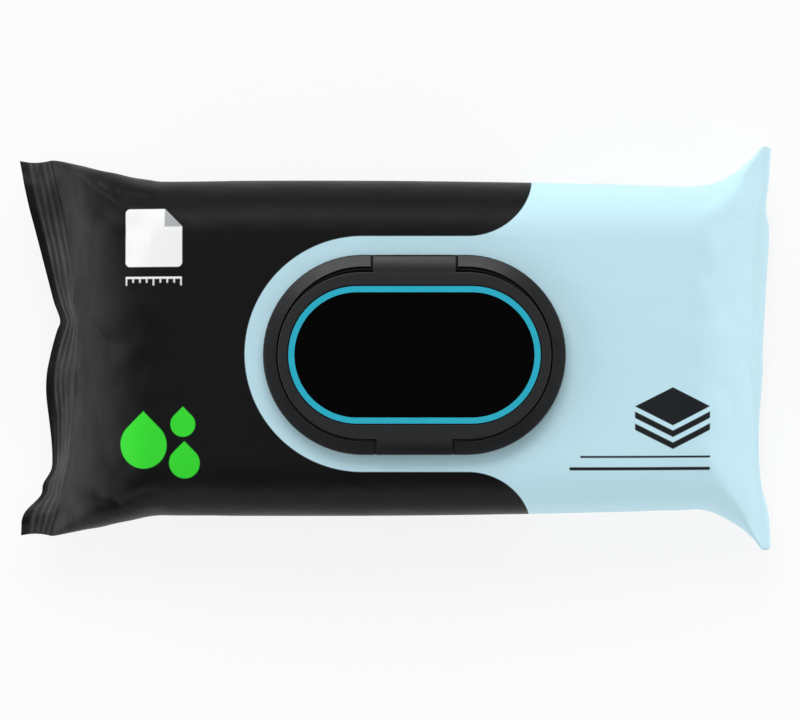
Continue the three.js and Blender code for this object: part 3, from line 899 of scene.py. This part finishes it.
bm = bmesh.new()
bmesh.ops.create_cube(bm, size=1.0)
upright_edges = [e for e in bm.edges if abs(e.verts[0].co.z - e.verts[1].co.z) > 0.5]
bmesh.ops.subdivide_edges(bm, edges=upright_edges, cuts=WEB_BENDS - 1, use_grid_fill=True)
web_size = (HINGE_TAB - WEB_SHORTER, WEB_THICKNESS, HINGE_WEB + 2 * WEB_LAP)
bmesh.ops.scale(bm, vec=web_size, verts=bm.verts[:])
bmesh.ops.translate(bm, vec=(0, frame_edge - WEB_THICKNESS / 2, HINGE_HEIGHT), verts=bm.verts[:])
to_lid(bm)
hinge_web = new_piece("living_hinge_web", bm, [plastic])
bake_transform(hinge_web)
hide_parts("living_hinge")


# Flip lid. A shallow tray with a skirt, a ring underneath that presses on the frame's upstand, a recess for
# its label, and two tabs that carry the border's sloping top on across the hinge and the thumb gap.

LID_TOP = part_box("flip_lid")[1].z / MM - pouch_top
LID_GAP = 0.5
LID_BOTTOM = FLOOR_TOP + 0.3
LID_UNDER = LID_TOP - 1.4
LID_SKIRT = 1.2
LID_EDGE, EDGE_STEPS = 0.4, 5
BACK_SET_IN, FRONT_SET_IN = 0.8, 0.4
SEAL_RING_WALL, SEAL_RING_END = 1.0, FLOOR_TOP + 0.8
SEAL_RING_GAP = 0.4  # round the frame's upstand
LABEL_LENGTH, LABEL_WIDTH = 84.1, 46.0
LABEL_SEAT, LABEL_GAP = LID_TOP - 0.5, 0.25
THUMB_UNDER = FRAME_BASE + 3.2
TAB_SLOPE = 4.0
TAB_LOWER, TAB_LAP = 0.02, 0.8  # than the lid's top, and how far a tab runs into the lid
HINGE_CLEARANCE = 0.3  # keeps the hinge tab off the frame's wall when the lid is right back
lid_inset = RING_WIDTH + LID_GAP
lid_half_width = frame_edge - lid_inset

bm = bmesh.new()
turns = [math.pi / 2 * k / EDGE_STEPS for k in range(EDGE_STEPS + 1)]
outside = [(lid_inset + LID_EDGE * (1 - math.sin(a)), LID_TOP - LID_EDGE * (1 - math.cos(a))) for a in turns]
outside += [(lid_inset, LID_BOTTOM), (lid_inset + LID_SKIRT, LID_BOTTOM), (lid_inset + LID_SKIRT, LID_UNDER)]
ring_inner = -RIM_WALL - SEAL_RING_GAP
ring_outer = ring_inner - SEAL_RING_WALL
ring = [
    (ring_outer, LID_UNDER), (ring_outer, SEAL_RING_END),
    (ring_inner, SEAL_RING_END), (ring_inner, LID_UNDER),
]
recess = [(-LABEL_GAP, LABEL_SEAT), (-LABEL_GAP, LID_TOP)]
skin(
    bm,
    inset_stations(LABEL_LENGTH, LABEL_WIDTH, recess)
    + inset_stations(FRAME_LENGTH, FRAME_WIDTH, outside)
    + inset_stations(OPENING_LENGTH, OPENING_WIDTH, ring),
)
close_up(bm)
# At the back and the front the lid's top edge is set in, so that it clears the border as it swings
set_in_from, set_in_to = LABEL_WIDTH / 2 + 1.0, lid_half_width - 1.5
for v in bm.verts:
    from_middle = math.hypot(max(abs(v.co.x) - (FRAME_LENGTH - FRAME_WIDTH) / 2, 0), v.co.y)
    outer = ease((from_middle - set_in_from) / (set_in_to - set_in_from))
    upper = ease((v.co.z - LID_BOTTOM) / (LID_TOP - LID_EDGE - LID_BOTTOM))
    set_in = BACK_SET_IN if v.co.y > 0 else -FRONT_SET_IN
    v.co.y -= set_in * upper * outer * (v.co.y / lid_half_width) ** 2


def tab(bm, edge, width, under):
    """A tab from the lid out to this edge, behind it or in front of it, with the border's slope on top."""
    top = LID_TOP - TAB_LOWER
    in_from_edge = lid_inset + LID_EDGE + TAB_LAP
    profile = [(0.0, under)] + border_edge(TAB_SLOPE, top) + [(in_from_edge, top), (in_from_edge, under)]
    bar(bm, [(edge - math.copysign(inset, edge), height) for inset, height in profile], width)


tab(bm, frame_edge - HINGE_CLEARANCE, HINGE_TAB, HINGE_HEIGHT + HINGE_WEB / 2)
tab(bm, -frame_edge, THUMB_TAB, THUMB_UNDER)
close_up(bm)
to_lid(bm)
flip_lid = new_piece("flip_lid_moulding", bm, [plastic])
soften(flip_lid, width=0.18)
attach(flip_lid, "lid")
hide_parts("flip_lid")


# Lid label. A label of black gloss film with a turquoise line printed round it. It is die-cut and stuck down
# in the lid's recess.

LINE_INSET, LINE_WIDTH = 0.2, 2.0
LABEL_ROUND = 0.08
LABEL_BLACK, LABEL_HAZE = "#010102", "#030304"
TURQUOISE, TURQUOISE_PALE = "#27a8c2", "#2cb4cd"
label_top = LABEL_SEAT + 0.4

bm = bmesh.new()
walls = skin(bm, inset_stations(LABEL_LENGTH, LABEL_WIDTH, [
    (0.0, LABEL_SEAT), (0.0, label_top - LABEL_ROUND), (LABEL_ROUND, label_top),
    (LINE_INSET, label_top), (LINE_INSET + LINE_WIDTH, label_top),
]))
close_up(bm)
line = walls[-1]
for face in bm.faces:
    face.material_index = 1 if face in line else 0
to_lid(bm)

label_black, tree, shader = new_material("black_label")
place = places(tree)[0]
haze = grain(tree, place, size=25.0, detail=1.0)
tree.links.new(paint(tree, LABEL_BLACK, LABEL_HAZE, haze), shader.inputs["Base Color"])
uneven_gloss(tree, shader, haze, glossy=0.2, dull=0.24)
emboss(tree, shader, haze, depth=0.03)
shader.inputs["Specular IOR Level"].default_value = 0.025
label_line, tree, shader = new_material("turquoise_ink")
place = places(tree)[0]
haze = grain(tree, place, size=6.0)
tree.links.new(paint(tree, TURQUOISE, TURQUOISE_PALE, haze), shader.inputs["Base Color"])
uneven_gloss(tree, shader, haze, glossy=0.3, dull=0.4)
shader.inputs["Specular IOR Level"].default_value = 0.15

label = new_piece("lid_label_film", bm, [label_black, label_line])
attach(label, "lid")
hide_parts("lid_label")


# Studio, in metres. A pale floor, a soft world that is darker overhead than near the floor, and large soft
# lamps overhead, behind and low on the other sides, so that what slopes is lighter than the flat front.

FLOOR_SIZE = 12.0
FLOOR_PALE = "#f4f5f6"
FLOOR_WHITE = 0.84  # to the eye, and in what mirrors it, the floor is lifted this far towards white
WORLD_LOW, WORLD_OVERHEAD = 0.7, 0.12
OVERHEAD_FROM = 0.65  # the height of a direction, up to 1, from which the world is at its darkest
WORLD_BEHIND = 0.12  # how much brighter it is towards the back of the pack
WORLD_COLOUR = (0.96, 0.98, 1.0, 1.0)
LAMPS_AIM = Vector((0.0, 0.0, 0.02))
LAMPS = [  # name, place, size and watts
    ("back", (-0.2, 1.35, 1.3), (2.0, 0.9), 21),
    ("overhead", (0.0, -0.1, 1.8), (2.2, 1.6), 6.5),
    ("front", (0.2, -1.6, 0.5), (3.0, 0.7), 9),
    ("left", (-1.6, 0.0, 0.42), (3.2, 0.76), 19),
    ("right", (1.6, 0.0, 0.42), (3.2, 0.76), 13),
]

bm = bmesh.new()
bmesh.ops.create_grid(bm, x_segments=1, y_segments=1, size=FLOOR_SIZE)
floor_material, tree, shader = new_material("pale_floor")
shader.inputs["Roughness"].default_value = 0.9
shader.inputs["Base Color"].default_value = linear(FLOOR_PALE)
rays = tree.nodes.new("ShaderNodeLightPath").outputs
seen = calc(tree, "MAXIMUM", rays["Is Camera Ray"], rays["Is Glossy Ray"])
seen = calc(tree, "MAXIMUM", seen, rays["Is Transmission Ray"])
white = tree.nodes.new("ShaderNodeEmission")
lifted = tree.nodes.new("ShaderNodeMixShader")
tree.links.new(calc(tree, "MULTIPLY", seen, FLOOR_WHITE), lifted.inputs[0])
tree.links.new(shader.outputs[0], lifted.inputs[1])
tree.links.new(white.outputs[0], lifted.inputs[2])
tree.links.new(lifted.outputs[0], tree.nodes["Material Output"].inputs["Surface"])
floor = new_piece("floor", bm, [floor_material])

world = bpy.data.worlds.new("studio")
world.use_nodes = True
tree = world.node_tree
direction = tree.nodes.new("ShaderNodeSeparateXYZ")
tree.links.new(tree.nodes.new("ShaderNodeTexCoord").outputs["Generated"], direction.inputs[0])
level = carried(tree, direction.outputs[2], 0.0, OVERHEAD_FROM, WORLD_LOW, WORLD_OVERHEAD)
level = calc(tree, "ADD", level, calc(tree, "MULTIPLY", direction.outputs[1], WORLD_BEHIND))
background = tree.nodes["Background"]
background.inputs["Color"].default_value = WORLD_COLOUR
tree.links.new(level, background.inputs["Strength"])
bpy.context.scene.world = world

for name, place, size, power in LAMPS:
    data = bpy.data.lights.new(name, "AREA")
    data.shape = "RECTANGLE"
    data.size, data.size_y = size
    data.energy = power
    lamp = bpy.data.objects.new(name, data)
    turn = (LAMPS_AIM - Vector(place)).to_track_quat("-Z", "Y")
    lamp.matrix_world = Matrix.Translation(place) @ turn.to_matrix().to_4x4()
    bpy.context.scene.collection.objects.link(lamp)

# Camera, in millimetres. It is straight above, at the height that gives the pack its size in the picture.
PIXEL = 0.342  # the width of a pixel at the pack's mid height
PICTURE_WIDTH = 800
MID_HEIGHT = 21.0
CAMERA_X, CAMERA_Y = 1.21, -4.0
LENS, SENSOR_WIDTH = 120.0, 36.0
camera_data = bpy.data.cameras.new("camera")
camera_data.lens = LENS
camera_data.sensor_width = SENSOR_WIDTH
camera = bpy.data.objects.new("camera", camera_data)
camera_height = MID_HEIGHT + PICTURE_WIDTH * PIXEL * LENS / SENSOR_WIDTH
camera.location = Vector((CAMERA_X, CAMERA_Y, camera_height)) * MM
bpy.context.scene.collection.objects.link(camera)
bpy.context.scene.camera = camera
bpy.context.scene.view_settings.view_transform = "Standard"
